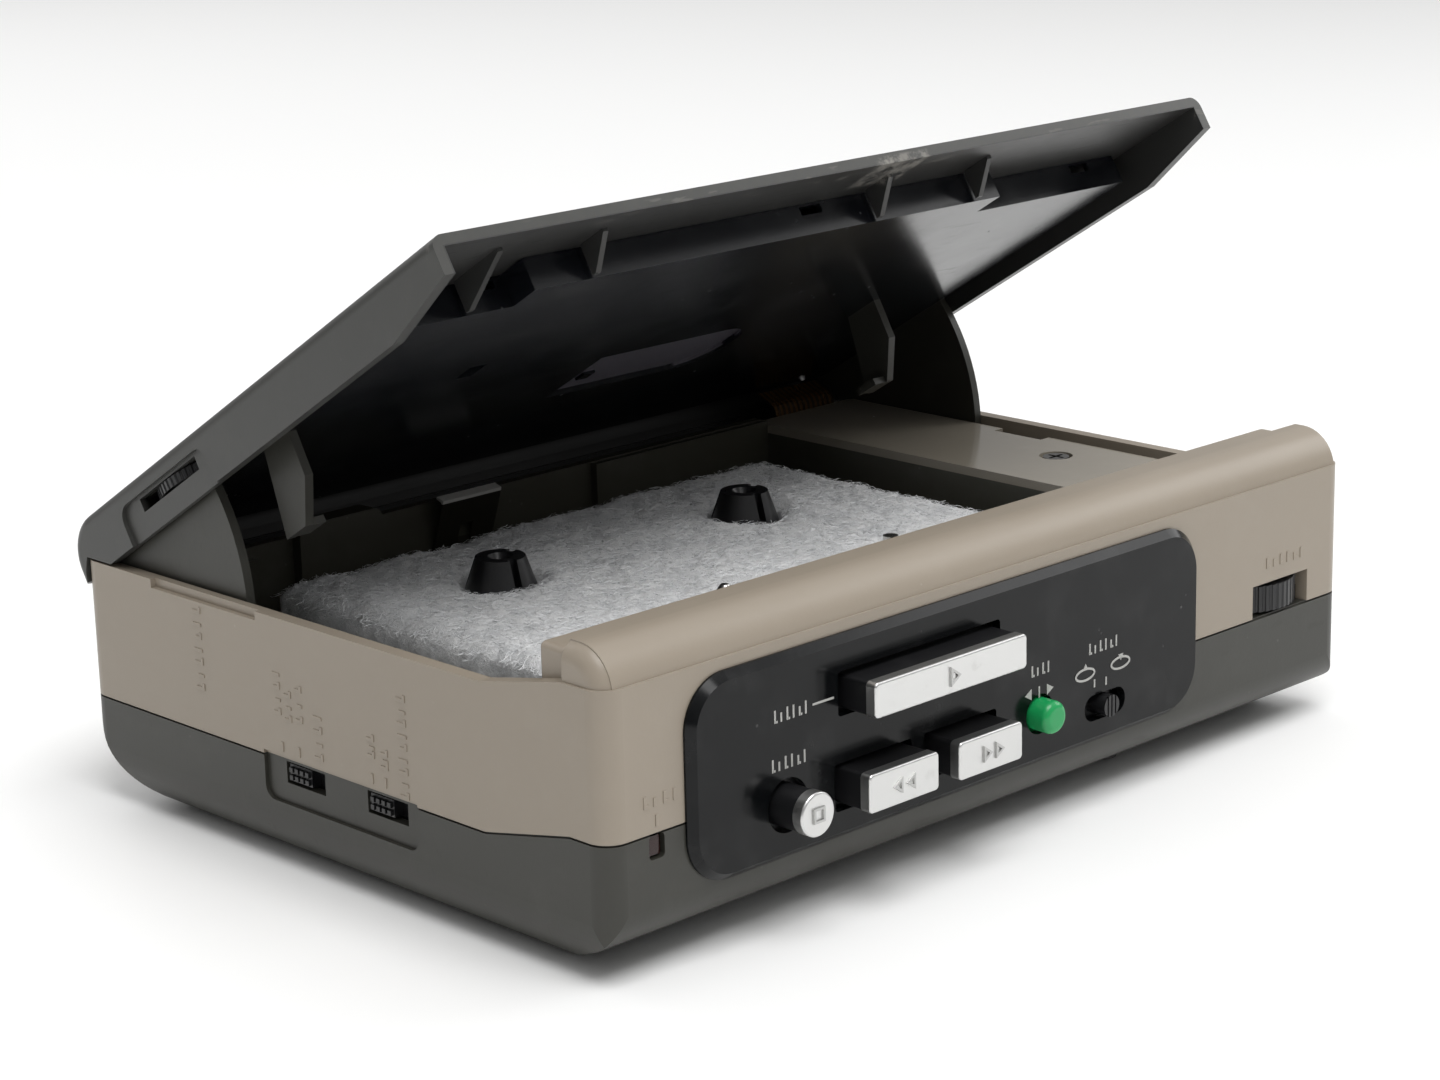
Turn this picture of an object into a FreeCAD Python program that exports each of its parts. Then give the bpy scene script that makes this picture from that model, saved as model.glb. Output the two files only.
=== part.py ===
import FreeCAD, Part
import math
import os

# Portable radio cassette player, lying on its back with the cassette lid open.
# Millimetres. X runs along the button face, -Y is the button face, +Z is up.
# The origin is the middle of the flat underside.

# ---- driving dimensions: case ----
half_length = 65.65
half_depth = 48.0
wall = 1.8
side_top = 31.1
ridge_top = 38.2
parting_z = 13.7
front_parting_z = 16.6
corner_round = 2.8
end_bottom_round = 7.2
front_bottom_round = 4.5
front_bottom_middle = 8.2
front_flank_angle = 24.0
back_bottom_round = 16.0
reach = 200.0
gap = 0.3

# ---- driving dimensions: hinge and lid ----
hinge_y = 41.0
hinge_z = 29.0
open_angle = 31.5
lid_bottom = 31.4
lid_edge_y = -40.0
lid_top = 38.6
lid_back = 47.9
lid_skin = 1.4
barrel_radius = 6.9
gusset_x = 62.3
gusset_thick = 1.2
pin_radius = 1.2

# ---- driving dimensions: tape transport ----
reel_pitch = 42.5
reel_middle_x = -8.5
reel_y = 10.0
reel_top = 30.7
capstan_offset = 21.0
capstan_y = -16.6
deck_z = 20.0
bay_left = -59.95
bay_right = 42.1
bay_back = 36.0
ridge_inner_y = -36.0
ridge_step_y = -41.4
ridge_step_z = 36.9
ridge_end_round = 2.4
chassis_z = 15.5
flywheel_radius = 15.0
belt_hub_radius = 11.6
pulley_radius = 3.5
motor_at = (-8.5, 19.0)
play_travel = 3.6

# ---- driving dimensions: controls ----
panel_y = -49.2
button_front = -53.9
play_box = (-30.2, -4.5, 23.5, 27.7)
rewind_box = (-31.3, -19.8, 12.6, 17.2)
forward_box = (-16.3, -5.3, 12.6, 17.2)
stop_at = (-39.6, 14.9)
direction_at = (3.3, 14.9)
mode_at = (15.45, 13.15)
volume_at = (52.3, -40.4)
volume_radius = 8.0
battery_radius = 7.25
battery_length = 50.5
screw_places = [(-56.0, -35.5), (29.0, -37.5), (-56.0, 32.0), (29.0, 32.0)]
post_places = [(-50.0, -33.0), (30.4, -33.0), (-50.0, 28.0), (30.4, 27.0)]


def box(x0, x1, y0, y1, z0, z1):
    return Part.makeBox(x1 - x0, y1 - y0, z1 - z0, FreeCAD.Vector(x0, y0, z0))


def post(x, y, z0, z1, radius):
    return Part.makeCylinder(radius, z1 - z0, FreeCAD.Vector(x, y, z0))


def rod_x(x0, x1, y, z, radius):
    return Part.makeCylinder(radius, x1 - x0, FreeCAD.Vector(x0, y, z), FreeCAD.Vector(1, 0, 0))


def rod_y(y0, y1, x, z, radius):
    return Part.makeCylinder(radius, y1 - y0, FreeCAD.Vector(x, y0, z), FreeCAD.Vector(0, 1, 0))


def fillet_along(shape, direction, radius, wanted=lambda middle: True):
    # Round the straight edges that run along one axis and whose middle is wanted.
    edges = []
    for edge in shape.Edges:
        ends = edge.Vertexes
        if len(ends) < 2:
            continue
        span = ends[1].Point - ends[0].Point
        if span.Length < 1e-6 or abs(span.normalize().dot(direction)) < 0.999:
            continue
        middle = (ends[0].Point + ends[1].Point) * 0.5
        if wanted(middle):
            edges.append(edge)
    return shape.makeFillet(radius, edges) if edges else shape


along_x = FreeCAD.Vector(1, 0, 0)
along_y = FreeCAD.Vector(0, 1, 0)
along_z = FreeCAD.Vector(0, 0, 1)


def outline(steps, place):
    # A closed wire. A step is a point, or a pair (middle, end) for an arc.
    points = [step if isinstance(step[0], (int, float)) else step[1] for step in steps]
    edges = []
    for i, step in enumerate(steps):
        start = place(points[i - 1])
        if isinstance(step[0], (int, float)):
            if (place(step) - start).Length > 1e-6:
                edges.append(Part.makeLine(start, place(step)))
        else:
            edges.append(Part.Arc(start, place(step[0]), place(step[1])).toShape())
    return Part.Face(Part.Wire(Part.__sortEdges__(edges)))


def side_prism(steps, x0, x1):
    # Extrude a (y, z) outline along X.
    face = outline(steps, lambda p: FreeCAD.Vector(x0, p[0], p[1]))
    return face.extrude(FreeCAD.Vector(x1 - x0, 0, 0))


def plan_prism(steps, z0, z1):
    # Extrude an (x, y) outline along Z.
    face = outline(steps, lambda p: FreeCAD.Vector(p[0], p[1], z0))
    return face.extrude(FreeCAD.Vector(0, 0, z1 - z0))


def polar(radius, degrees):
    # A (y, z) point around the hinge axis.
    angle = math.radians(degrees)
    return (hinge_y + radius * math.cos(angle), hinge_z + radius * math.sin(angle))


def both_sides(shape):
    # A shape and its mirror image in the plane x = 0, as one group.
    return Part.makeCompound([shape, shape.mirror(FreeCAD.Vector(0, 0, 0), along_x)])


def one(shape):
    # Clean up a boolean result; a single solid comes out of its compound.
    shape = shape.removeSplitter()
    return shape.Solids[0] if len(shape.Solids) == 1 else shape


def save(name, shape):
    shape = one(shape)
    for solid in shape.Solids:
        if not solid.isValid() or solid.Volume < 0.01:
            print("PROBLEM", name, solid.isValid(), solid.Volume)
    shape.exportStep("parts/" + name + ".step")
    low = shape.BoundBox
    print(f"{name:20s} solids {len(shape.Solids)}  x {low.XMin:.1f} {low.XMax:.1f}"
          f"  y {low.YMin:.1f} {low.YMax:.1f}  z {low.ZMin:.1f} {low.ZMax:.1f}")


# ---- case ----

def side_profile(inset):
    # The case in section: a small round and a sloping flank at the front, a large round at the back.
    y = half_depth - inset
    front = front_bottom_round - inset
    back = back_bottom_round - inset
    middle_y = front_bottom_round - half_depth
    turn = math.radians(90 - front_flank_angle)
    flank = [(middle_y - front * math.cos(part), front_bottom_middle - front * math.sin(part))
             for part in (turn / 2, turn)]
    foot_y = flank[1][0] + (flank[1][1] - inset) * math.tan(turn)
    low = back * math.cos(math.radians(45))
    return [(y, 40), (-y, 40), (-y, front_bottom_middle), (flank[0], flank[1]), (foot_y, inset),
            (y - back, inset), ((y - back + low, back_bottom_round - low), (y, back_bottom_round))]


def case_block(inset):
    # The whole case as one solid with rounded corners, shrunk by inset on its sides and floor.
    x = half_length - inset
    y = half_depth - inset
    plan = fillet_along(box(-x, x, -y, y, inset, 40), along_z, corner_round - inset)
    front = fillet_along(box(-x, x, -y, y, inset, 40), along_y, end_bottom_round - inset,
                         lambda m: m.z < 10)
    return plan.common(front).common(side_prism(side_profile(inset), -x, x))


def below_parting(lift):
    # Everything under the parting surface, which climbs towards the front.
    steps = [(reach, parting_z + lift), (reach, -10), (-reach, -10),
             (-reach, front_parting_z + lift), (-42, front_parting_z + lift),
             (-28, parting_z + lift)]
    return side_prism(steps, -reach, reach)


def front_windows():
    # Openings behind the control panel, and the volume and battery lamp windows.
    return [box(-45, 21.6, -49, -45, 10, 30), box(46.5, 58.1, -49, -45, 16.6, 20.9)]


def switch_recess():
    # Shallow recess in the left end around the two slide switches.
    recess = box(-reach, -half_length + 0.5, -16.3, 12.2, 8.2, 14.2)
    return fillet_along(recess, along_x, 1.6, lambda m: m.z < 10)


def battery_door_region(shrink):
    region = box(34.6 + shrink, reach, -20.5 + shrink, 36.5 - shrink, -10, 7.0 - shrink)
    return region


def hinge_clearance(radius):
    return rod_x(-63.85, 63.85, hinge_y, hinge_z, radius)


def lower_case(outer, shell):
    below = below_parting(0)
    case = shell.common(below)
    line = below.cut(below_parting(-0.25)).cut(case_block(0.3))
    case = case.cut(line)
    for x, y in screw_places:
        case = case.fuse(post(x, y, 1, 15.2, 2.6).common(outer))
        case = case.cut(post(x, y, -1, 1.7, 2.1)).cut(post(x, y, 0, 17, 1.0))
    for x, y in post_places:
        case = case.fuse(post(x, y, 1, chassis_z, 2.0))
    for y in (-22.4, 37.0):
        case = case.fuse(box(34.4, 63.0, y, y + 1.4, 1, 15.5).common(outer))
    cuts = front_windows() + [battery_door_region(0), switch_recess()]
    for low in (1.2, -14.0):
        cuts.append(box(-reach, -60, low, low + 7.3, 10.7, 13.4))
    cuts.append(fillet_along(box(-59.6, -57.3, -49, -45, 13.6, 16.4), along_y, 0.5))
    cuts.append(rod_x(60, 70, -26.5, 9.5, 3.05))
    cuts.append(rod_x(60, 70, -38.0, 9.0, 3.05))
    for cut in cuts:
        case = case.cut(cut)
    return case


def battery_door(shell):
    return shell.common(battery_door_region(gap))


def ridge_profile(inset, bottom):
    # The front ridge in section: a low back step, a crest and a large round at the front.
    front = -half_depth + 0.3 + inset
    back = ridge_inner_y - inset
    top = ridge_top - inset
    radius = 5.0 - inset
    diagonal = radius * math.cos(math.radians(45))
    return [(back, bottom), (back, ridge_step_z - inset), (ridge_step_y + 1.1, ridge_step_z - inset),
            (ridge_step_y, top), (front + radius, top),
            ((front + radius - diagonal, top - radius + diagonal), (front, top - radius)),
            (front, bottom)]


def upper_case(outer, shell):
    above = box(-reach, reach, -reach, reach, 0, 60).cut(below_parting(0))
    # side walls: level, rising to the ridge, stepped and rounded at the hinge
    step_y = hinge_y + math.sqrt(5.9 ** 2 - 2.0 ** 2)
    rim_y = hinge_y + math.sqrt(5.9 ** 2 - (side_top - hinge_z) ** 2)
    top = side_prism([(-28, side_top), (ridge_step_y, 33.8), (-reach, 33.8), (-reach, 0), (reach, 0),
                      (reach, 27.0), (step_y, 27.0), (polar(5.9, 2), (rim_y, side_top))],
                     -reach, reach)
    case = shell.common(above).common(top)
    # no wall behind the hinge barrel, and none behind the ridge
    case = case.cut(box(-63.85, 63.85, 40, 60, 25.5, 60)).cut(hinge_clearance(7.25))
    # the front ridge with its stepped ends
    ridge = side_prism(ridge_profile(0, 18.5), -63.85, 63.85)
    ridge = fillet_along(ridge, along_x, 0.6, lambda m: m.z > 36 and m.y > -37)
    ridge = fillet_along(ridge, along_z, 0.8, lambda m: m.y > -37)
    end_x = half_length - 0.3
    ends = side_prism(ridge_profile(0, 30), -end_x, end_x)
    rims = [edge for edge in ends.Edges if edge.BoundBox.XLength < 0.01 and edge.BoundBox.ZMin > 29.9
            and edge.BoundBox.YMax < ridge_step_y + 0.01 and edge.BoundBox.ZMax > 30.1]
    ends = ends.makeFillet(ridge_end_round, rims)
    ends = ends.cut(box(-reach, reach, ridge_step_y, 0, 0, 60))
    ridge = ridge.fuse(ends)
    hollow = side_prism(ridge_profile(wall, 0), -60.7, 60.7)
    band = box(-reach, reach, -half_depth, -46.2, 30, 33)
    front = ridge.common(outer).fuse(band.common(outer))
    case = case.fuse(front).cut(hollow)
    # finger recess under the tuning wheel
    case = case.cut(box(-reach, -half_length + 0.7, 12.4, 33.3, 30.0, 60))
    for cut in front_windows() + [switch_recess()]:
        case = case.cut(cut)
    # room for the volume wheel behind the ridge
    case = case.cut(box(43.9, 60.7, -45.9, -30, 16.4, 21.0))
    # blind holes for the hinge pins
    case = case.cut(rod_x(-65.0, 65.0, hinge_y, hinge_z, pin_radius))
    return case


def cassette_well():
    # Deck floor, bay walls, and the frame that carries the side cover plate.
    left = bay_left - 1.5
    well = box(left, bay_right + 1.5, ridge_inner_y, bay_back + 1.5, deck_z - 1.5, deck_z)
    walls = [box(left, bay_left, -35, bay_back + 1.5, 18.5, 29.2),
             box(bay_right, bay_right + 1.5, ridge_inner_y, bay_back + 1.5, 18.5, 29.2),
             box(left, 61.95, bay_back, bay_back + 1.5, 18.5, 29.2),
             box(left, bay_right, bay_back, bay_back + 1.5, 18.5, 31.0),
             box(60.45, 61.95, ridge_inner_y, bay_back + 1.5, 18.5, 29.2),
             box(bay_right, 61.95, ridge_inner_y, -35.8, 21.2, 29.2)]
    # raised blocks on the back wall
    block = fillet_along(box(-42, -28.6, 34.4, bay_back + 1.5, 20, 32.6), along_y, 1.6,
                         lambda m: m.z > 30)
    walls.append(block)
    walls.append(box(9, bay_right, 34.8, bay_back + 1, 20, 30.9))
    walls.append(box(-59.95, -48, 35.2, bay_back + 1, 20, 29.5))
    for wall_piece in walls:
        well = well.fuse(wall_piece)
    for x in (reel_middle_x - reel_pitch / 2, reel_middle_x + reel_pitch / 2):
        well = well.cut(post(x, reel_y, 10, 25, 3.0))
    for x in (reel_middle_x - capstan_offset, reel_middle_x + capstan_offset):
        well = well.cut(post(x, capstan_y, 10, 25, 2.9))
    return well


def side_cover_plate():
    plate = box(bay_right, 61.95, -35.7, 37.2, 29.2, 30.4)
    plate = fillet_along(plate, along_z, 1.0)
    plate = plate.cut(box(60.2, 63, -0.9, 7.6, 28, 32))
    plate = plate.cut(post(54.6, -8.4, 29.6, 31, 2.3)).cut(post(54.6, -8.4, 20, 31, 1.1))
    return plate


def plate_screw():
    # Countersunk cross-head screw in the side cover plate.
    screw = post(54.6, -8.4, 29.6, 30.3, 1.8).fuse(post(54.6, -8.4, 22, 29.6, 1.05))
    return screw.cut(box(53.3, 55.9, -8.65, -8.15, 29.9, 31)).cut(
        box(54.35, 54.85, -9.7, -7.1, 29.9, 31))


def control_panel():
    panel = fillet_along(box(-54.2, 34.1, panel_y, -half_depth, 8.5, 32.4), along_y, 6.0)
    face = [edge for edge in panel.Edges
            if abs(edge.BoundBox.YMin - panel_y) < 1e-4 and abs(edge.BoundBox.YMax - panel_y) < 1e-4]
    panel = panel.makeChamfer(0.9, face)
    holes = [box(-31.4, -3.9, -50, -47, 23.1, 28.4), box(-32.1, -19.3, -50, -47, 11.9, 17.6),
             box(-17.3, -4.6, -50, -47, 11.9, 17.6), rod_y(-50, -47, *stop_at, 3.2),
             rod_y(-50, -47, *direction_at, 2.5)]
    for hole in holes:
        panel = panel.cut(fillet_along(hole, along_y, 0.5) if len(hole.Faces) == 6 else hole)
    slot = fillet_along(box(11.6, 19.3, -50, -47, 11.5, 14.8), along_y, 1.6)
    return panel.cut(slot)


def bottom_screws():
    screws = []
    for x, y in screw_places:
        head = post(x, y, 0.5, 1.7, 2.0).cut(box(x - 1.4, x + 1.4, y - 0.25, y + 0.25, 0, 1.0))
        head = head.cut(box(x - 0.25, x + 0.25, y - 1.4, y + 1.4, 0, 1.0))
        screws.append(head.fuse(post(x, y, 1.7, 13.5, 0.98)).removeSplitter())
    return Part.makeCompound(screws)


# ---- buttons, switches and wheels ----

def button_stem(area, flange_low, flange_high):
    # Square black stem with a lip behind the panel that keeps it in.
    x0, x1, z0, z1 = area
    stem = fillet_along(box(x0 + 0.2, x1 - 0.2, -52.4, -44.2, z0 + 0.1, z1 - 0.1), along_y, 0.4)
    return stem.fuse(box(x0 + 0.2, x1 - 0.2, -47.6, -46.4, flange_low, flange_high))


def button_tip(area):
    x0, x1, z0, z1 = area
    tip = fillet_along(box(x0, x1, button_front, -52.4, z0, z1), along_y, 0.6)
    rim = [edge for edge in tip.Edges if edge.BoundBox.YMax < button_front + 1e-4]
    return tip.makeFillet(0.3, rim)


def round_stem(at, radius, front, back):
    return rod_y(front, back, at[0], at[1], radius).fuse(rod_y(-47.6, -46.4, *at, radius + 1.3))


def stop_tip():
    tip = rod_y(button_front, -52.4, *stop_at, 2.6)
    rim = [edge for edge in tip.Edges if edge.BoundBox.YMax < button_front + 1e-4]
    return tip.makeFillet(0.3, rim)


def direction_button():
    # Green button with a rounded end.
    button = rod_y(-51.9, -47.0, *direction_at, 2.05)
    rim = [edge for edge in button.Edges if edge.BoundBox.YMax < -51.8]
    return button.makeFillet(0.9, rim).fuse(round_stem(direction_at, 2.05, -47.0, -44.6))


def mode_knob():
    # Round ribbed knob on a shoe that slides behind the panel.
    x, z = mode_at
    knob = rod_y(-50.3, -46.6, x, z, 1.4).fuse(box(x - 2.8, x + 2.8, -47.6, -46.6, z - 2.4, z + 2.4))
    for offset in (-0.7, 0.0, 0.7):
        knob = knob.cut(box(x + offset - 0.12, x + offset + 0.12, -50.8, -50.0, z - 3, z + 3))
    return knob


def end_knob(low):
    # Slide switch knob with a grid of bumps, at the hinge end of its slot.
    y0 = low + 7.3 - 0.3 - 4.2
    y1 = y0 + 4.2
    knob = box(-64.9, -61.7, y0, y1, 11.0, 13.1)
    for i in range(4):
        for j in range(2):
            knob = knob.fuse(box(-65.3, -64.9, y0 + 0.25 + i, y0 + 0.85 + i,
                                 11.25 + j * 0.95, 11.85 + j * 0.95))
    return knob.fuse(box(-63.5, -62.6, y0 - 0.7, y1 + 0.2, 10.2, 14.0))


def slide_switches():
    bodies = [box(-61.3, -57.8, middle - 5, middle + 5, 9.5, 14.5) for middle in (4.85, -10.35)]
    bodies.append(box(mode_at[0] - 5, mode_at[0] + 5, -46.2, -43.0, mode_at[1] - 2.6, mode_at[1] + 2.6))
    return Part.makeCompound(bodies)


def volume_wheel():
    # Thumbwheel with a ribbed rim and a small centre bore.
    x, y = volume_at
    wheel = post(x, y, 17.0, 20.4, volume_radius)
    for i in range(48):
        angle = math.radians(7.5 * i)
        wheel = wheel.cut(post(x + (volume_radius + 0.12) * math.cos(angle),
                               y + (volume_radius + 0.12) * math.sin(angle), 16.5, 21, 0.3))
    return wheel.cut(post(x, y, 16, 21, 1.25))


def volume_pot():
    x, y = volume_at
    pot = box(x - 5.5, x + 5.5, y - 4.8, y + 5.5, 12.6, 16.4)
    return pot.fuse(post(x, y, 16.4, 20.2, 1.2))


def battery_led():
    lens = box(-59.3, -57.6, -47.5, -46.0, 13.9, 16.1)
    return lens.fuse(rod_y(-46.0, -44.0, -58.45, 15.0, 1.1))


def headphone_jack():
    # 3.5 mm socket in the right end.
    jack = box(51.6, 63.4, -29.5, -23.5, 6.5, 12.5).fuse(rod_x(63.4, half_length, -26.5, 9.5, 3.0))
    return jack.cut(rod_x(half_length - 13, 70, -26.5, 9.5, 1.8))


def dc_jack():
    jack = box(53.0, 63.4, -41.5, -34.5, 5.6, 12.2).fuse(rod_x(63.4, half_length, -38.0, 9.0, 3.0))
    jack = jack.cut(rod_x(half_length - 9, 70, -38.0, 9.0, 2.0))
    return jack.fuse(rod_x(half_length - 9, half_length - 1.5, -38.0, 9.0, 0.5))


# ---- power ----

def batteries():
    cells = []
    for x in (41.7, 56.4):
        cell = rod_y(-18.4, -18.4 + battery_length - 1.5, x, 9.6, battery_radius)
        cells.append(cell.fuse(rod_y(-18.4 + battery_length - 1.5, -18.4 + battery_length, x, 9.6, 2.6)))
    return Part.makeCompound(cells)


def battery_contacts():
    contacts = []
    for x in (41.7, 56.4):
        spring = Part.makeCone(4.0, 2.2, 2.2, FreeCAD.Vector(x, -20.6, 9.6), along_y)
        contacts.append(spring.fuse(box(x - 5, x + 5, -21.0, -20.6, 4, 15)))
        contacts.append(box(x - 5, x + 5, 36.6, 37.0, 4, 15).fuse(
            rod_y(-18.4 + battery_length, 36.6, x, 9.6, 2.0)))
    return Part.makeCompound(contacts)


def main_circuit_board():
    board = box(-60, 32.6, -38.5, 37.5, 3.2, 4.4)
    for x, y in post_places:
        board = board.cut(post(x, y, 2, 6, 2.0))
    for x, y in screw_places:
        board = board.cut(post(x, y, 2, 6, 2.6))
    for x, y, wide, deep in [(-40, 15, 12, 8), (-38, 30, 9, 5), (12, 34, 8, 4), (-6, -6, 7, 6)]:
        board = board.fuse(box(x, x + wide, y, y + deep, 4.4, 5.5))
    return board.common(case_block(wall + 0.4))


# ---- tape transport ----

def reel_spindle(x):
    # Splined cone over a round base, with its gear under the deck.
    spindle = post(x, reel_y, 12.0, 26.0, 1.0).fuse(post(x, reel_y, 17.0, 18.1, 8.0))
    spindle = spindle.fuse(post(x, reel_y, 18.1, 22.0, 2.5)).fuse(post(x, reel_y, 20.5, 22.0, 5.6))
    spindle = spindle.fuse(post(x, reel_y, 22.0, 26.6, 4.6))
    cone = Part.makeCone(4.6, 3.15, reel_top - 26.6, FreeCAD.Vector(x, reel_y, 26.6))
    for i in range(3):
        angle = math.radians(120 * i + 20)
        groove = box(2.3, 6, -0.5, 0.5, 27.2, 32)
        groove.rotate(FreeCAD.Vector(0, 0, 0), along_z, math.degrees(angle))
        groove.translate(FreeCAD.Vector(x, reel_y, 0))
        cone = cone.cut(groove)
    spindle = spindle.fuse(cone)
    return spindle.cut(Part.makeCone(0.5, 1.7, 1.6, FreeCAD.Vector(x, reel_y, reel_top - 1.5)))


def flywheel(x, shaft_top):
    wheel = post(x, capstan_y, 9.0, 14.4, flywheel_radius).cut(
        post(x, capstan_y, 12.6, 15, 12.0).cut(post(x, capstan_y, 12.6, 15, 4.0)))
    wheel = wheel.fuse(post(x, capstan_y, 7.0, 9.0, belt_hub_radius))
    return wheel.fuse(post(x, capstan_y, 6.9, shaft_top, 1.0))


def capstan_bushes():
    bushes = []
    for x in (reel_middle_x - capstan_offset, reel_middle_x + capstan_offset):
        bushes.append(post(x, capstan_y, 15.0, 18.2, 2.5).cut(post(x, capstan_y, 14, 20, 1.03)))
    return Part.makeCompound(bushes)


def chassis_plate():
    plate = box(-53, 33.2, -35, 31, chassis_z, chassis_z + 1)
    for x in (reel_middle_x - capstan_offset, reel_middle_x + capstan_offset):
        plate = plate.cut(post(x, capstan_y, 14, 18, 2.5))
    for x in (reel_middle_x - reel_pitch / 2, reel_middle_x + reel_pitch / 2):
        plate = plate.cut(post(x, reel_y, 14, 18, 1.05))
    for x, y in screw_places:
        plate = plate.cut(post(x, y, 14, 18, 2.8))
    for x, y in [(-45, -2), (22, -2), (-45, 24), (22, 24)]:
        plate = plate.cut(post(x, y, 14, 18, 4.0))
    return plate


def flywheel_bridge():
    bridge = box(-49.5, 31.2, -20.0, -13.2, 5.8, 6.6)
    for x in (-49.5, 28.4):
        bridge = bridge.fuse(box(x, x + 2.8, -20.0, -13.2, 5.8, chassis_z))
    return bridge


def motor():
    # Flat motor under the chassis with its shaft pointing down.
    body = post(*motor_at, 9.0, chassis_z, 13.0)
    rim = [edge for edge in body.Edges if edge.BoundBox.ZMax < 9.01 and len(edge.Vertexes) == 1]
    body = body.makeFillet(1.0, rim)
    return body.cut(post(*motor_at, 8, 14.2, 0.8))


def motor_pulley():
    return post(*motor_at, 7.0, 8.6, pulley_radius).fuse(post(*motor_at, 8.6, 14.0, 0.75))


def belt_loop(extra, z0, z1):
    # Outer loop round the two flywheel hubs and the motor pulley.
    circles = [(reel_middle_x - capstan_offset, capstan_y, belt_hub_radius + extra),
               (reel_middle_x + capstan_offset, capstan_y, belt_hub_radius + extra),
               (motor_at[0], motor_at[1], pulley_radius + extra)]
    tangents = []
    for i in range(3):
        x0, y0, r0 = circles[i]
        x1, y1, r1 = circles[(i + 1) % 3]
        angle = math.atan2(y1 - y0, x1 - x0) - math.acos((r0 - r1) / math.hypot(x1 - x0, y1 - y0))
        tangents.append((angle, (x0 + r0 * math.cos(angle), y0 + r0 * math.sin(angle)),
                         (x1 + r1 * math.cos(angle), y1 + r1 * math.sin(angle))))
    steps = []
    for i in range(3):
        before, start, end = tangents[i - 1]
        angle, leave, arrive = tangents[i]
        x, y, r = circles[i]
        turn = (angle - before) % (2 * math.pi)
        middle = before + turn / 2
        steps.append(((x + r * math.cos(middle), y + r * math.sin(middle)), leave))
        steps.append(arrive)
    return plan_prism(steps, z0, z1)


def drive_belt():
    return belt_loop(0.8, 7.6, 8.4).cut(belt_loop(0.3, 7, 9))


def head_plate():
    plate = box(-40, 23, -35.6, -27.2, 20.8, 21.8)
    for x in (reel_middle_x - capstan_offset, reel_middle_x + capstan_offset):
        plate = plate.fuse(post(x, -26.0, 20.8, 21.8, 2.0)).fuse(post(x, -26.0, 21.8, 29.2, 0.9))
    return plate


def tape_head():
    head = box(-14.5, -2.5, -34.0, -28.2, 21.8, 29.6)
    return fillet_along(head, along_z, 1.5, lambda m: m.y > -30)


def pinch_roller(x):
    return post(x, -26.0, 22.2, 28.4, 4.5).cut(post(x, -26.0, 22, 29, 0.95))


def cassette_spring():
    # Leaf spring on the back wall, leaning forward, with a folded top edge.
    leaf = side_prism([(bay_back, 21), (bay_back, 24.4), (33.6, 31.3), (34.6, 31.7), (34.5, 32.0),
                       (33.2, 31.6), (33.3, 31.2), (35.7, 24.3), (35.7, 21)], -19.5, -9.5)
    return leaf.cut(box(-15.6, -13.4, 32, 35.6, 24.5, 27.5))


def guide_pin():
    pin = post(-17.0, capstan_y, deck_z, 28.5, 1.1)
    return pin.fuse(Part.makeCone(1.1, 0.5, 0.8, FreeCAD.Vector(-17.0, capstan_y, 28.5)))


def transport_pad():
    pad = box(-50.0, 34.3, -22.0, 28.6, deck_z + 0.3, 28.1)
    for x in (reel_middle_x - reel_pitch / 2, reel_middle_x + reel_pitch / 2):
        pad = pad.cut(post(x, reel_y, 15, 22.4, 6.0)).cut(post(x, reel_y, 22, 30, 5.0))
    for x in (reel_middle_x - capstan_offset, reel_middle_x + capstan_offset):
        pad = pad.cut(box(x - 5.6, x + 5.6, -25, -14.6, 15, 30))
    return pad.cut(post(-17.0, capstan_y, 15, 30, 1.6))


# ---- hinge ----

def hinge_pins():
    return both_sides(rod_x(61.0, 65.0, hinge_y, hinge_z, pin_radius))


def lid_spring():
    # Close-wound torsion spring round its own rod, left of the bay.
    steps = []
    turns = 9
    wire = 0.5
    for i in range(turns):
        x = i * 2 * wire
        steps += [(x, 2.0), ((x + wire, 2.0 + wire), (x + 2 * wire, 2.0))]
    steps = [(0, 1.3)] + steps + [(turns * 2 * wire, 1.3)]
    face = outline(steps, lambda p: FreeCAD.Vector(-57 + p[0], hinge_y, hinge_z + p[1]))
    coil = face.revolve(FreeCAD.Vector(0, hinge_y, hinge_z), along_x, 360)
    leg = rod_y(bay_back + 1.5, hinge_y - 1.6, -56.5, hinge_z - 1.6, 0.4)
    rod = rod_x(-61.0, -46.0, hinge_y, hinge_z, pin_radius)
    return Part.makeCompound([coil.fuse(leg).fuse(rod)])


def tuner_ribbon():
    # Flat flexible cable beside the hinge; it stops short of the lid.
    return side_prism([(37.8, 26.0), (37.8, 30.6), (40.5, 31.0), (40.5, 31.2), (37.6, 30.8),
                       (37.6, 26.0)], 47.0, 59.0)


# ---- lid, drawn in its closed place ----

def lid_block(inset, bottom, x, front_y):
    # The lid's solid with its round back corner, open space below bottom left out.
    back = lid_back - inset
    block = box(-x, x, front_y, back, bottom, lid_top - inset)
    return fillet_along(block, along_x, 5.5 - inset, lambda m: m.z > 36 and m.y > 40)


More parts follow.
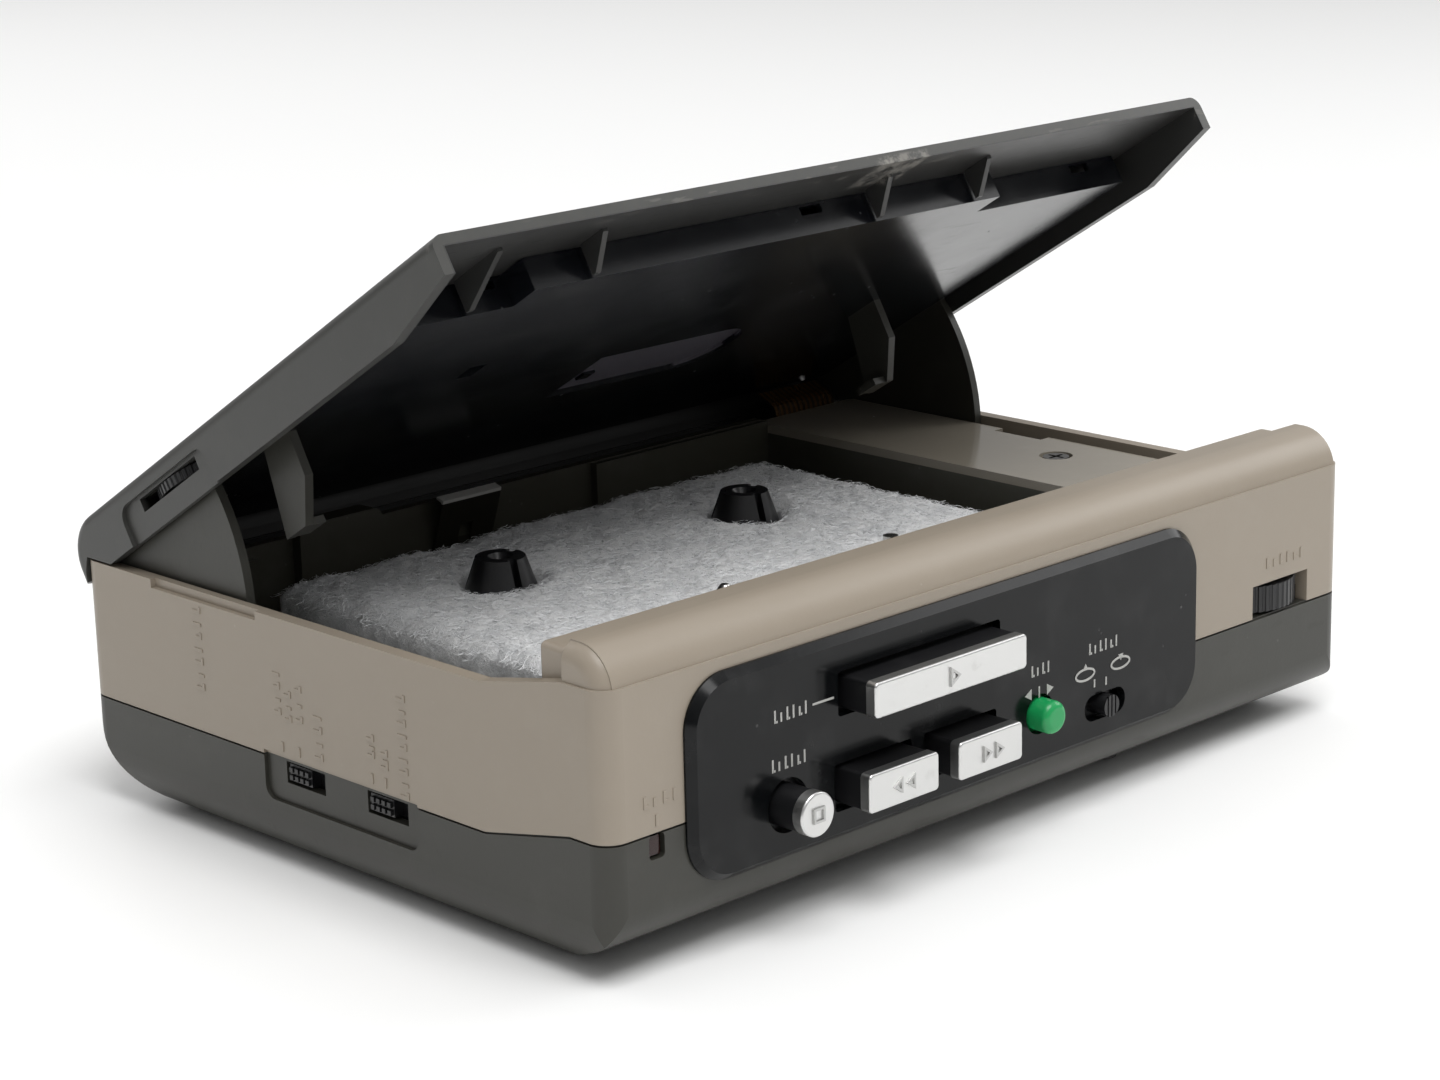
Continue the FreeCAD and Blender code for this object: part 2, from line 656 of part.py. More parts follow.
def lid_shell():
    rim_cut = side_prism([(-reach, 34.0), (-40.0, 34.0), (-27.5, lid_bottom), (reach, lid_bottom),
                          (reach, -reach), (-reach, -reach)], -reach, reach)
    lid = lid_block(0, 28, half_length, lid_edge_y)
    rim = [edge for edge in lid.Edges if edge.BoundBox.XLength < 0.01
           and edge.BoundBox.ZMax > 28.1 and edge.BoundBox.YMax > -39]
    lid = lid.makeFillet(1.6, rim).cut(rim_cut)
    lid = lid.cut(lid_block(lid_skin, 20, 64.15, -60))
    # room behind the hinge for the case's side walls
    wedge = side_prism([polar(2.49, 105.75), polar(6.2, 54.3), (polar(6.2, 37), polar(6.2, 15)),
                        (hinge_y, hinge_z)], -reach, reach)
    lid = lid.cut(wedge)
    # hinge barrel that closes the back at every angle
    barrel = side_prism([polar(5.9, 26), polar(barrel_radius, 26),
                         (polar(barrel_radius, 0), polar(barrel_radius, -30)), polar(5.9, -30),
                         (polar(5.9, 0), polar(5.9, 26))], -63.5, 63.5)
    lid = lid.fuse(barrel)
    # triangular ribs behind the free edge
    for x, foot_y in [(-53.6, -27.0), (-38.0, -31.5), (9.0, -31.5), (27.2, -31.5)]:
        rib = side_prism([(-35.9, 37.4), (-35.9, 36.8), (foot_y - 0.6, 33.4), (foot_y, 33.4),
                          (foot_y, 37.4)], x - 0.4, x + 0.4)
        lid = lid.fuse(rib)
    # tuning wheel slot in a shallow finger recess, and the dial window
    recess = fillet_along(box(-70, -half_length + 0.6, 13.0, 34.3, 20, 36.3), along_x, 2.0,
                          lambda m: m.z > 30)
    lid = lid.cut(recess).cut(box(-70, -62, 16.0, 30.0, 34.2, 35.9))
    return lid.cut(box(-40, 40, 22, 31, 36, 45))


def lid_inner_plate():
    plate = box(-61.2, 61.2, -31.0, 39.6, 33.2, 34.2)
    plate = plate.cut(box(-70, -46, -40, -26.5, 30, 40)).cut(box(31, 70, -40, -26.5, 30, 40))
    # upright skirt round the front edge, with three small slots
    for x0, x1, y in [(-46.8, 31.8, -31.0), (-61.2, -46, -26.5), (31, 61.2, -26.5)]:
        plate = plate.fuse(box(x0, x1, y, y + 0.8, 33.2, 37.1))
    for x in (-46.8, 31.0):
        plate = plate.fuse(box(x, x + 0.8, -31.0, -25.7, 33.2, 37.1))
    for x in (-50, -1, 54):
        plate = plate.cut(box(x - 1.8, x + 1.8, -32, -25, 35.7, 36.8))
    pocket = fillet_along(box(-11, 17, 3, 16, 33, 33.9), along_z, 6.0, lambda m: m.x > 0)
    plate = plate.cut(pocket).fuse(box(-9.5, -7.6, 9.0, 11.0, 33.2, 34.2))
    return plate.cut(box(-38.6, -36.0, -5.5, -2.0, 30, 40))


def lid_gusset(radius):
    # Sector plate that swings down inside the case and turns on a hinge pin.
    side = side_prism([(hinge_y + 0.4 - radius, 37.0), (hinge_y + 0.4 - radius, 33.5),
                       (polar(radius, 191), polar(radius, 211)), polar(4.2, 225),
                       (polar(3.4, 270), polar(3.4, 0)), (44.4, 33.0), (42.0, 36.6)],
                      gusset_x, gusset_x + gusset_thick)
    return side.cut(rod_x(60, 66, hinge_y, hinge_z, pin_radius + 0.05))


def lid_gussets():
    left = lid_gusset(24.4).mirror(FreeCAD.Vector(0, 0, 0), along_x)
    left = left.cut(box(-66, -60, 15.0, 31.0, 34.1, 36.0))
    return Part.makeCompound([lid_gusset(28.0), left])


def cassette_guides():
    # Arms that hold the cassette by its ends, with a lip at the bottom.
    arm_outline = [(4.6, 33.2), (4.8, 27.6), (8.4, 22.6), (12.8, 22.6), (10.4, 33.2)]
    left = side_prism(arm_outline, -59.4, -58.2)
    left = left.fuse(box(-59.4, -56.2, 8.6, 12.4, 22.6, 23.5))
    right = side_prism(arm_outline, 40.5, 41.7)
    right = right.fuse(box(38.4, 41.7, 8.6, 12.4, 22.6, 23.5))
    return Part.makeCompound([left, right])


def tuner_board():
    board = box(-44, 58, -24, 20, 34.5, 35.4)
    for x, y, wide, deep in [(-30, -15, 9, 9), (0, -18, 12, 6), (30, -5, 7, 7), (20, 8, 6, 6)]:
        board = board.fuse(box(x, x + wide, y, y + deep, 35.4, 36.3))
    return board


def tuning_capacitor():
    body = box(-61.6, -51.1, 17.5, 28.5, 36.1, 37.1)
    return body.fuse(post(-56.2, 23.0, 34.4, 36.1, 1.2))


def tuning_wheel():
    wheel = post(-56.2, 23.0, 34.5, 35.7, 9.0)
    for i in range(60):
        angle = math.radians(6 * i)
        wheel = wheel.cut(post(-56.2 + 9.1 * math.cos(angle), 23.0 + 9.1 * math.sin(angle),
                               34, 36, 0.28))
    return wheel.cut(post(-56.2, 23.0, 34, 36, 1.25))


def dial_window():
    # Clear window flush with the tapered roof.
    roof = lid_block(0, 28, half_length, lid_edge_y)
    inner = lid_block(1.0, 20, half_length, -60)
    return box(-39.95, 39.95, 22.05, 30.95, 30, 45).common(roof).cut(inner)


def dial_pointer():
    return box(-30.4, -29.6, 23.0, 30.0, 36.4, 37.0).fuse(box(-32, -28, 28.4, 30.0, 35.6, 36.4))


def opened(shape):
    # Turn a lid piece from its closed place to the open rest place.
    turned = shape.copy()
    turned.rotate(FreeCAD.Vector(0, hinge_y, hinge_z), along_x, -open_angle)
    return turned


def main():
    os.makedirs("parts", exist_ok=True)
    outer = case_block(0)
    shell = outer.cut(case_block(wall))
    left_x = reel_middle_x - reel_pitch / 2
    right_x = reel_middle_x + reel_pitch / 2
    left_capstan = reel_middle_x - capstan_offset
    right_capstan = reel_middle_x + capstan_offset
    fixed = {
        "lower_case": lower_case(outer, shell), "upper_case": upper_case(outer, shell),
        "battery_door": battery_door(shell), "cassette_well": cassette_well(),
        "side_cover_plate": side_cover_plate(), "plate_screw": plate_screw(),
        "control_panel": control_panel(), "case_screws": bottom_screws(),
        "play_button": button_stem(play_box, 22.3, 29.3), "play_tip": button_tip(play_box),
        "rewind_button": button_stem(rewind_box, 10.9, 18.6), "rewind_tip": button_tip(rewind_box),
        "forward_button": button_stem(forward_box, 10.9, 18.6),
        "forward_tip": button_tip(forward_box),
        "stop_button": round_stem(stop_at, 2.5, -52.4, -44.6), "stop_tip": stop_tip(),
        "direction_button": direction_button(), "mode_knob": mode_knob(),
        "tape_knob": end_knob(1.2), "noise_knob": end_knob(-14.0),
        "slide_switches": slide_switches(), "volume_wheel": volume_wheel(),
        "volume_pot": volume_pot(), "battery_led": battery_led(),
        "headphone_jack": headphone_jack(), "dc_jack": dc_jack(), "batteries": batteries(),
        "battery_contacts": battery_contacts(), "main_circuit_board": main_circuit_board(),
        "left_spindle": reel_spindle(left_x), "right_spindle": reel_spindle(right_x),
        "left_flywheel": flywheel(left_capstan, 27.0),
        "right_flywheel": flywheel(right_capstan, 29.3),
        "capstan_bushes": capstan_bushes(), "chassis_plate": chassis_plate(),
        "flywheel_bridge": flywheel_bridge(), "motor": motor(), "motor_pulley": motor_pulley(),
        "drive_belt": drive_belt(), "head_plate": head_plate(), "tape_head": tape_head(),
        "left_pinch_roller": pinch_roller(left_capstan),
        "right_pinch_roller": pinch_roller(right_capstan), "cassette_spring": cassette_spring(),
        "guide_pin": guide_pin(), "transport_pad": transport_pad(), "hinge_pins": hinge_pins(),
        "lid_spring": lid_spring(), "tuner_ribbon": tuner_ribbon(),
    }
    for name, shape in fixed.items():
        save(name, shape)
    on_lid = {
        "lid_shell": lid_shell(), "lid_inner_plate": lid_inner_plate(),
        "lid_gussets": lid_gussets(), "cassette_guides": cassette_guides(),
        "tuner_board": tuner_board(), "tuning_capacitor": tuning_capacitor(),
        "tuning_wheel": tuning_wheel(), "dial_window": dial_window(),
        "dial_pointer": dial_pointer(),
    }
    for name, shape in on_lid.items():
        save(name, opened(one(shape)))


main()
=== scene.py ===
import math
import random

import bmesh
import bpy
from mathutils import Matrix, Vector, noise


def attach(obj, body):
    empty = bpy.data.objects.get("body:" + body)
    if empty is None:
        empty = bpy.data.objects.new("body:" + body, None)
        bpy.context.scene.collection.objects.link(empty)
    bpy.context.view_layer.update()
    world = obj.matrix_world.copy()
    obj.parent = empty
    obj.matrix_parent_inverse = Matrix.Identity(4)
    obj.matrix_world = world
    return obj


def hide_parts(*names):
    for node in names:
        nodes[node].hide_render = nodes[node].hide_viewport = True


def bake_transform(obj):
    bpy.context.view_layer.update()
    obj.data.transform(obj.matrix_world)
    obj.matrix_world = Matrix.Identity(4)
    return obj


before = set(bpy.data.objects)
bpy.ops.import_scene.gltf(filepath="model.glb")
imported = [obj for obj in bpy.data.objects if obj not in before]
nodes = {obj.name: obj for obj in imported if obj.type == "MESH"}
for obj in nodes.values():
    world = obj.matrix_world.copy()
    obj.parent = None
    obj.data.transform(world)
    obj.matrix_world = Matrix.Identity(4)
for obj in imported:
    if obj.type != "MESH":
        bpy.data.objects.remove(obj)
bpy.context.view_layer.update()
mm = 0.001

# camera, floor and light

cameraSet = {
    "place": (-0.28863, -0.29707, 0.14178),
    "yaw": 44.02,      # degrees from +Y towards +X
    "down": 15.32,
    "roll": -1.4,
    "lens": 84.02,
    "sensor": 36.0,
    "clip": (0.01, 50.0),   # metres
}

lightSet = {
    "key": {"place": (-0.10, -0.35, 0.85), "aim": (0.0, 0.0, 0.02), "size": 0.6, "power": 5.8},
    "side": {"place": (0.85, -0.25, 0.50), "aim": (0.0, 0.0, 0.03), "size": 0.5, "power": 1.8},
    "back": {"place": (0.1, 0.9, 0.7), "aim": (0.0, 0.0, 0.03), "size": 0.8, "power": 3.0},
    "horizon": 0.15,   # light from low down in the room
    "ceiling": 0.72,   # light from above
    "ceilingFrom": 0.8,   # how far up the room it is that bright
    "sides": (0.60, 1.15),   # share of it that comes from -X and from +X
}


def inScene(name, data):
    made = bpy.data.objects.new(name, data)
    bpy.context.collection.objects.link(made)
    return made


def makeCamera(values):
    yaw, down, roll = (math.radians(values[key]) for key in ("yaw", "down", "roll"))
    ahead = Vector((math.sin(yaw) * math.cos(down), math.cos(yaw) * math.cos(down), -math.sin(down)))
    right = Vector((math.cos(yaw), -math.sin(yaw), 0))
    up = right.cross(ahead)
    tiltedRight = right * math.cos(roll) + up * math.sin(roll)
    tiltedUp = up * math.cos(roll) - right * math.sin(roll)
    data = bpy.data.cameras.new("camera")
    data.lens, data.sensor_width = values["lens"], values["sensor"]
    data.clip_start, data.clip_end = values["clip"]
    camera = inScene("camera", data)
    turn = Matrix((tiltedRight, tiltedUp, -ahead)).transposed().to_4x4()
    camera.matrix_world = Matrix.Translation(values["place"]) @ turn
    bpy.context.scene.camera = camera


def makeLights(values):
    for name in ("key", "side", "back"):
        part = values[name]
        data = bpy.data.lights.new(name, "AREA")
        data.size, data.energy = part["size"], part["power"]
        lamp = inScene(name, data)
        aim = Vector(part["aim"]) - Vector(part["place"])
        turn = aim.to_track_quat("-Z", "Y").to_matrix().to_4x4()
        lamp.matrix_world = Matrix.Translation(part["place"]) @ turn
    bpy.context.scene.view_settings.view_transform = "Standard"


def makeRoom(values):  # white to the camera, darker low down for everything else
    world = bpy.data.worlds.new("studio")
    world.use_nodes = True
    tree = world.node_tree
    link = tree.links.new
    kinds = ("TexCoord", "SeparateXYZ", "MapRange", "LightPath", "Mix")
    made = {kind: tree.nodes.new("ShaderNode" + kind) for kind in kinds}
    link(made["TexCoord"].outputs["Generated"], made["SeparateXYZ"].inputs[0])
    link(made["SeparateXYZ"].outputs["Z"], made["MapRange"].inputs["Value"])
    made["MapRange"].inputs["From Max"].default_value = values["ceilingFrom"]
    made["MapRange"].inputs["To Min"].default_value = values["horizon"]
    made["MapRange"].inputs["To Max"].default_value = values["ceiling"]
    across, both = tree.nodes.new("ShaderNodeMapRange"), tree.nodes.new("ShaderNodeMath")
    link(made["SeparateXYZ"].outputs["X"], across.inputs["Value"])
    across.inputs["From Min"].default_value = -1.0
    across.inputs["To Min"].default_value, across.inputs["To Max"].default_value = values["sides"]
    both.operation = "MULTIPLY"
    link(made["MapRange"].outputs["Result"], both.inputs[0])
    link(across.outputs["Result"], both.inputs[1])
    link(made["LightPath"].outputs["Is Camera Ray"], made["Mix"].inputs[0])
    link(both.outputs[0], made["Mix"].inputs[2])
    made["Mix"].inputs[3].default_value = 1.0
    link(made["Mix"].outputs[0], tree.nodes["Background"].inputs["Strength"])
    tree.nodes["Background"].inputs["Color"].default_value = (1, 1, 1, 1)
    bpy.context.scene.world = world


makeCamera(cameraSet)
makeLights(lightSet)
makeRoom(lightSet)
print("camera and lights ready")

# shader helpers


class Wire:  # a shader value that works in sums
    def __init__(self, paint, socket):
        self.paint, self.socket = paint, socket

    def join(self, operation, first, second):
        return self.paint.node("Math", {"operation": operation}, {0: first, 1: second})

    def __add__(self, other):
        return self.join("ADD", self, other)

    def __sub__(self, other):
        return self.join("SUBTRACT", self, other)

    def __rsub__(self, other):
        return self.join("SUBTRACT", other, self)

    def __mul__(self, other):
        return self.join("MULTIPLY", self, other)

    __radd__, __rmul__ = __add__, __mul__


class Paint:  # one material and the nodes in it
    def __init__(self, name):
        self.material = bpy.data.materials.new(name)
        self.material.use_nodes = True
        self.tree = self.material.node_tree
        self.tree.nodes.clear()
        self.place = self.node("TexCoord", out="Object")

    def node(self, kind, settings=None, inputs=None, out=0):
        made = self.tree.nodes.new("ShaderNode" + kind)
        for key, value in (settings or {}).items():
            if key == "stops":
                ramp = made.color_ramp
                while len(ramp.elements) < len(value):
                    ramp.elements.new(0.5)
                for element, (where, shade) in zip(ramp.elements, value):
                    element.position, element.color = where, shade
            else:
                setattr(made, key, value)
        for key, value in (inputs or {}).items():
            if isinstance(value, Wire):
                self.tree.links.new(value.socket, made.inputs[key])
            else:
                made.inputs[key].default_value = value
        return Wire(self, made.outputs[out])

    def cloud(self, scale, detail=2.0, rough=0.5, place=None, stretch=None):
        where = place or self.place
        if stretch:
            where = self.node("Mapping", None, {"Vector": where, "Scale": stretch})
        return self.node("TexNoise", None, {"Vector": where, "Scale": scale, "Detail": detail,
                                            "Roughness": rough})

    def step(self, value, low, high):  # 0 below low, 1 above high, smooth between
        return self.node("MapRange", {"interpolation_type": "SMOOTHSTEP", "clamp": True},
                         {"Value": value, "From Min": low, "From Max": high})

    def mix(self, amount, first, second):
        return self.node("Mix", {"data_type": "RGBA"}, {0: amount, 6: first, 7: second}, out=2)

    def axes(self):
        split = self.node("SeparateXYZ", None, {0: self.place})
        parts = split.socket.node.outputs
        return [Wire(self, parts[i]) for i in range(3)]

    def bump(self, height, distance, strength=1.0, below=None):
        inputs = {"Strength": strength, "Distance": distance, "Height": height}
        if below:
            inputs["Normal"] = below
        return self.node("Bump", None, inputs)

    def finish(self, **inputs):
        named = {key.replace("_", " "): value for key, value in inputs.items()}
        shader = self.node("BsdfPrincipled", None, named)
        end = self.tree.nodes.new("ShaderNodeOutputMaterial")
        self.tree.links.new(shader.socket, end.inputs["Surface"])
        return self.material


def rgba(colour):
    return (*colour, 1.0)


# moulded plastics: colour, second colour it drifts to, roughness, grain size and depth, dust

plastics = {
    "upperCase": {"colour": (0.325, 0.278, 0.222), "drift": (0.305, 0.260, 0.207), "rough": 0.36,
                  "grain": 2600, "depth": 0.012, "dust": 0.05, "dustColour": (0.5, 0.46, 0.4)},
    "lowerCase": {"colour": (0.038, 0.037, 0.030), "drift": (0.033, 0.032, 0.026), "rough": 0.42,
                  "grain": 2200, "depth": 0.02, "dust": 0.06, "dustColour": (0.2, 0.2, 0.18)},
    "lidShell": {"colour": (0.050, 0.050, 0.046), "drift": (0.043, 0.043, 0.040), "rough": 0.38,
                 "grain": 2600, "depth": 0.015, "dust": 0.06, "dustColour": (0.2, 0.2, 0.18)},
    # painted shade: the well's dark olive stands for the deep shade inside the cassette bay
    "well": {"colour": (0.060, 0.058, 0.044), "drift": (0.050, 0.048, 0.037), "rough": 0.34,
             "grain": 2000, "depth": 0.02, "dust": 0.12, "dustColour": (0.16, 0.16, 0.15)},
    "innerPlate": {"colour": (0.0050, 0.0056, 0.0076), "drift": (0.0042, 0.0047, 0.0064), "rough": 0.20,
                   "grain": 1500, "depth": 0.010, "dust": 0.16, "dustColour": (0.1, 0.1, 0.1), "bend": 1.44},
    "panel": {"colour": (0.0030, 0.0034, 0.0040), "drift": (0.0026, 0.0030, 0.0034), "rough": 0.16,
              "grain": 1800, "depth": 0.006, "dust": 0.06, "dustColour": (0.2, 0.2, 0.2), "bend": 1.32},
    "coverPlate": {"colour": (0.300, 0.270, 0.220), "drift": (0.28, 0.252, 0.205), "rough": 0.13,
                   "grain": 1200, "depth": 0.006, "dust": 0.07, "dustColour": (0.5, 0.46, 0.4)},
    "black": {"colour": (0.011, 0.011, 0.012), "drift": (0.008, 0.008, 0.009), "rough": 0.32,
              "grain": 2600, "depth": 0.015, "dust": 0.08, "dustColour": (0.12, 0.12, 0.12)},
    "green": {"colour": (0.014, 0.36, 0.105), "drift": (0.010, 0.30, 0.085), "rough": 0.22,
              "grain": 2200, "depth": 0.006, "dust": 0.04, "dustColour": (0.3, 0.5, 0.35)},
}


plasticWear = {
    "driftScale": 38, "smudgeScale": 150, "speckScale": 420.0, "patchScale": 95, "scratchScale": 300,
    "smudgeRough": 0.10,    # how much smudges, dust and scratches dull the surface
    "dustRough": 0.4,
    "scratchRough": 0.05,
    "scratchDepth": 0.12,
}


def plastic(name, look, extra=None):
    paint = Paint(name)
    wear = plasticWear
    broad = paint.cloud(wear["driftScale"], 3.0)
    smudge = paint.cloud(wear["smudgeScale"], 4.0, 0.62)
    grain = paint.cloud(look["grain"], 2.0)
    specks = paint.node("TexVoronoi", {"feature": "F1"},
                        {"Vector": paint.place, "Scale": wear["speckScale"]}, out="Distance")
    chance = paint.cloud(wear["patchScale"], 2.0)
    dust = (1 - paint.step(specks, 0.05, 0.11)) * paint.step(chance, 0.56, 0.7) * (look["dust"] * 5)
    haze = paint.step(smudge, 0.45, 0.8) * look["dust"]
    base = paint.mix(broad, rgba(look["colour"]), rgba(look["drift"]))
    base = paint.mix(haze + dust, base, rgba(look["dustColour"]))
    rough = look["rough"] - 0.05 + smudge * wear["smudgeRough"] + dust * wear["dustRough"]
    scratch = paint.cloud(wear["scratchScale"], 1.0, 0.5, stretch=(0.5, 6.0, 2.0))
    lines = paint.step(scratch, 0.70, 0.72)
    rough = rough + lines * wear["scratchRough"]
    height = grain * 0.7 + broad * 2.0 - lines * wear["scratchDepth"]
    if extra:
        base, rough, height = extra(paint, base, rough, height)
    normal = paint.bump(height, look["depth"] * mm, 0.6)
    return paint.finish(Base_Color=base, Roughness=rough, Normal=normal, IOR=look.get("bend", 1.5))


hinge = {"y": 41.0, "z": 29.0, "open": 31.5}
# painted shade: the lid's inside takes this dark colour in place of the shade that falls there
lidInsideShade = {"skin": 37.4, "half": 64.4, "colour": (0.030, 0.030, 0.029)}
wornPatch = {
    "x": (3.0, 13.0), "z": (74.6, 75.4),   # the scuff's place on the open lid, in mm
    "nickFrom": (76.4, 77.0),              # height where the small nicks start
    "below": (38.0, 38.4),                 # on the shut lid, no wear above this
    "colour": (0.22, 0.21, 0.19),
}
pocketSet = {"x": (-11.0, 17.0), "y": (3.0, 16.0), "z": (33.5, 34.1), "colour": (0.090, 0.084, 0.100)}


def closedAxes(paint):  # where a point on the open lid lies once the lid is shut
    x, y, z = paint.axes()
    turn = math.radians(hinge["open"])
    out, up = y - hinge["y"] * mm, z - hinge["z"] * mm
    return (x, out * math.cos(turn) - up * math.sin(turn) + hinge["y"] * mm,
            out * math.sin(turn) + up * math.cos(turn) + hinge["z"] * mm)


def between(paint, value, low, high, soft=0.15):
    start = paint.step(value, low * mm, (low + soft) * mm)
    return start * (1 - paint.step(value, (high - soft) * mm, high * mm))


def lightPocket(paint, base, rough, height):  # the bare moulded pocket under the plate
    x, y, z = closedAxes(paint)
    inside = between(paint, x, *pocketSet["x"]) * between(paint, y, *pocketSet["y"])
    inside = inside * between(paint, z, *pocketSet["z"], 0.05)
    return paint.mix(inside, base, rgba(pocketSet["colour"])), rough + inside * 0.2, height


def shadeInsideAndWornEdge(paint, base, rough, height):  # painted shade darkens the lid's inside, and a scuff under the lid's free edge
    x, y, z = closedAxes(paint)
    half, skin = lidInsideShade["half"], lidInsideShade["skin"]
    # painted shade: the lid's faces below its outer skin, once shut, take the dark inside colour
    inside = between(paint, x, -half, half, 0.1) * (1 - paint.step(z, (skin - 0.1) * mm, skin * mm))
    base = paint.mix(inside, base, rgba(lidInsideShade["colour"]))
    below = 1 - paint.step(z, *(edge * mm for edge in wornPatch["below"]))
    x, y, z = paint.axes()
    left, right = wornPatch["x"]
    across = paint.step(x, left * mm, (left + 1.5) * mm)
    across = across * (1 - paint.step(x, (right - 1.0) * mm, right * mm))
    patch = across * paint.step(z, *(edge * mm for edge in wornPatch["z"]))
    ragged = paint.cloud(420, 5.0, 0.7, stretch=(1.0, 1.0, 1.0))
    worn = patch * paint.step(ragged, 0.42, 0.58) * 0.8
    rim = paint.cloud(240, 3.0, 0.6, stretch=(0.6, 3.0, 3.0))
    high = paint.step(z, *(edge * mm for edge in wornPatch["nickFrom"]))
    nick = high * paint.step(rim, 0.6, 0.66) * 0.25
    total = (worn + nick) * below
    return paint.mix(total, base, rgba(wornPatch["colour"])), rough + total * 0.2, height - total * 2.0


# metals: bright parts with a turned or rolled grain

metals = {
    "steel": {"colour": (0.56, 0.55, 0.53), "rough": 0.28, "stretch": (1, 14, 1),
              "tarnish": (0.30, 0.27, 0.23)},
    # painted shade: this darkened steel stands for the shade in the screws' recessed holes
    "shadedSteel": {"colour": (0.16, 0.155, 0.15), "rough": 0.34, "stretch": (1, 8, 1),
                  "tarnish": (0.08, 0.07, 0.06)},
    # painted shade: the leaf spring is coloured dark below the given height, where it sits in the well
    "leafSteel": {"colour": (0.66, 0.65, 0.62), "rough": 0.30, "stretch": (10, 1, 1),
                  "tarnish": (0.4, 0.39, 0.36), "shine": 0.3, "above": 31.2, "low": (0.030, 0.029, 0.022)},
    "springSteel": {"colour": (0.46, 0.46, 0.45), "rough": 0.22, "stretch": (12, 1, 1),
                    "tarnish": (0.2, 0.19, 0.18)},
    "brass": {"colour": (0.72, 0.52, 0.22), "rough": 0.3, "stretch": (1, 1, 10),
              "tarnish": (0.32, 0.2, 0.08)},
    "silverTip": {"colour": (0.70, 0.70, 0.69), "rough": 0.34, "stretch": (10, 1, 1),
                  "tarnish": (0.50, 0.49, 0.47)},
    # painted shade: the signs on the key tips are a darker copy of the tip's silver, standing for the shade
    # along their raised edges
    "shadedTipSign": {"colour": (0.52, 0.52, 0.51), "rough": 0.40, "stretch": (10, 1, 1),
                "tarnish": (0.42, 0.41, 0.40)},
}


def metal(name, look):
    paint = Paint(name)
    grain = paint.cloud(900, 3.0, 0.6, stretch=look["stretch"])
    spots = paint.cloud(260, 4.0, 0.65)
    marks = paint.step(spots, 0.58, 0.74) * 0.35
    base = paint.mix(marks, rgba(look["colour"]), rgba(look["tarnish"]))
    if "above" in look:  # painted shade below this height, where the spring sits down in the well; its upper edge keeps the steel colour
        unshadedTop = paint.step(paint.axes()[2], (look["above"] - 0.1) * mm, look["above"] * mm)
        base = paint.mix(unshadedTop, rgba(look["low"]), base)
    rough = look["rough"] + grain * 0.12 + marks * 0.25 - 0.06
    normal = paint.bump(grain, 0.006 * mm, 0.5)
    return paint.finish(Base_Color=base, Roughness=rough, Normal=normal, Metallic=look.get("shine", 1.0))


def rubber(name, colour):
    paint = Paint(name)
    fine = paint.cloud(1500, 3.0, 0.6)
    bloom = paint.step(paint.cloud(180, 3.0), 0.5, 0.8) * 0.3
    base = paint.mix(bloom, rgba(colour), (0.06, 0.06, 0.058, 1))
    return paint.finish(Base_Color=base, Roughness=0.62 + fine * 0.2,
                        Normal=paint.bump(fine, 0.02 * mm, 0.6))


def board(name):
    paint = Paint(name)
    traces = paint.node("TexBrick", {"offset": 0.37, "squash": 1.4},
                        {"Vector": paint.place, "Scale": 210.0, "Mortar Size": 0.03}, out="Fac")
    tone = paint.cloud(60, 2.0)
    base = paint.mix(traces, (0.02, 0.15, 0.05, 1), (0.05, 0.26, 0.09, 1))
    base = paint.mix(paint.step(tone, 0.55, 0.8) * 0.4, base, (0.012, 0.08, 0.03, 1))
    return paint.finish(Base_Color=base, Roughness=0.28 + tone * 0.12,
                        Normal=paint.bump(traces, 0.03 * mm, 0.6))


def clear(name, tint, shown):
    paint = Paint(name)
    smear = paint.cloud(120, 3.0)
    base = paint.mix(smear, rgba(tint), rgba([c * 0.8 for c in tint]))
    return paint.finish(Base_Color=base, Roughness=0.06 + smear * 0.08, Alpha=shown, IOR=1.49,
                        Normal=paint.bump(smear, 0.004 * mm, 0.3))


def wrap(name):  # plain printed sleeve of a dry cell
    paint = Paint(name)
    y = paint.axes()[1]
    band = paint.step(y, 20 * mm, 20.3 * mm)
    tone = paint.cloud(80, 2.0)
    base = paint.mix(band, (0.02, 0.03, 0.05, 1), (0.55, 0.42, 0.18, 1))
    base = paint.mix(tone * 0.2, base, (0.1, 0.1, 0.1, 1))
    return paint.finish(Base_Color=base, Roughness=0.25 + tone * 0.1, Metallic=band * 0.6,
                        Normal=paint.bump(tone, 0.01 * mm, 0.3))


def ribbonFilm(name):  # amber film with bright copper tracks running along it
    paint = Paint(name)
    x = paint.axes()[0]
    pitch = 1.0 * mm   # from one copper track to the next
    wave = paint.node("Math", {"operation": "SINE"}, {0: x * (2 * math.pi / pitch)})
    track = paint.step(wave, -0.1, 0.25)
    tone = paint.cloud(200, 3.0)
    base = paint.mix(track, (0.030, 0.016, 0.006, 1), (0.16, 0.085, 0.028, 1))
    base = paint.mix(tone * 0.3, base, (0.02, 0.012, 0.006, 1))
    return paint.finish(Base_Color=base, Roughness=0.22 + tone * 0.12, Metallic=track * 0.5,
                        Normal=paint.bump(track, 0.02 * mm, 0.5))


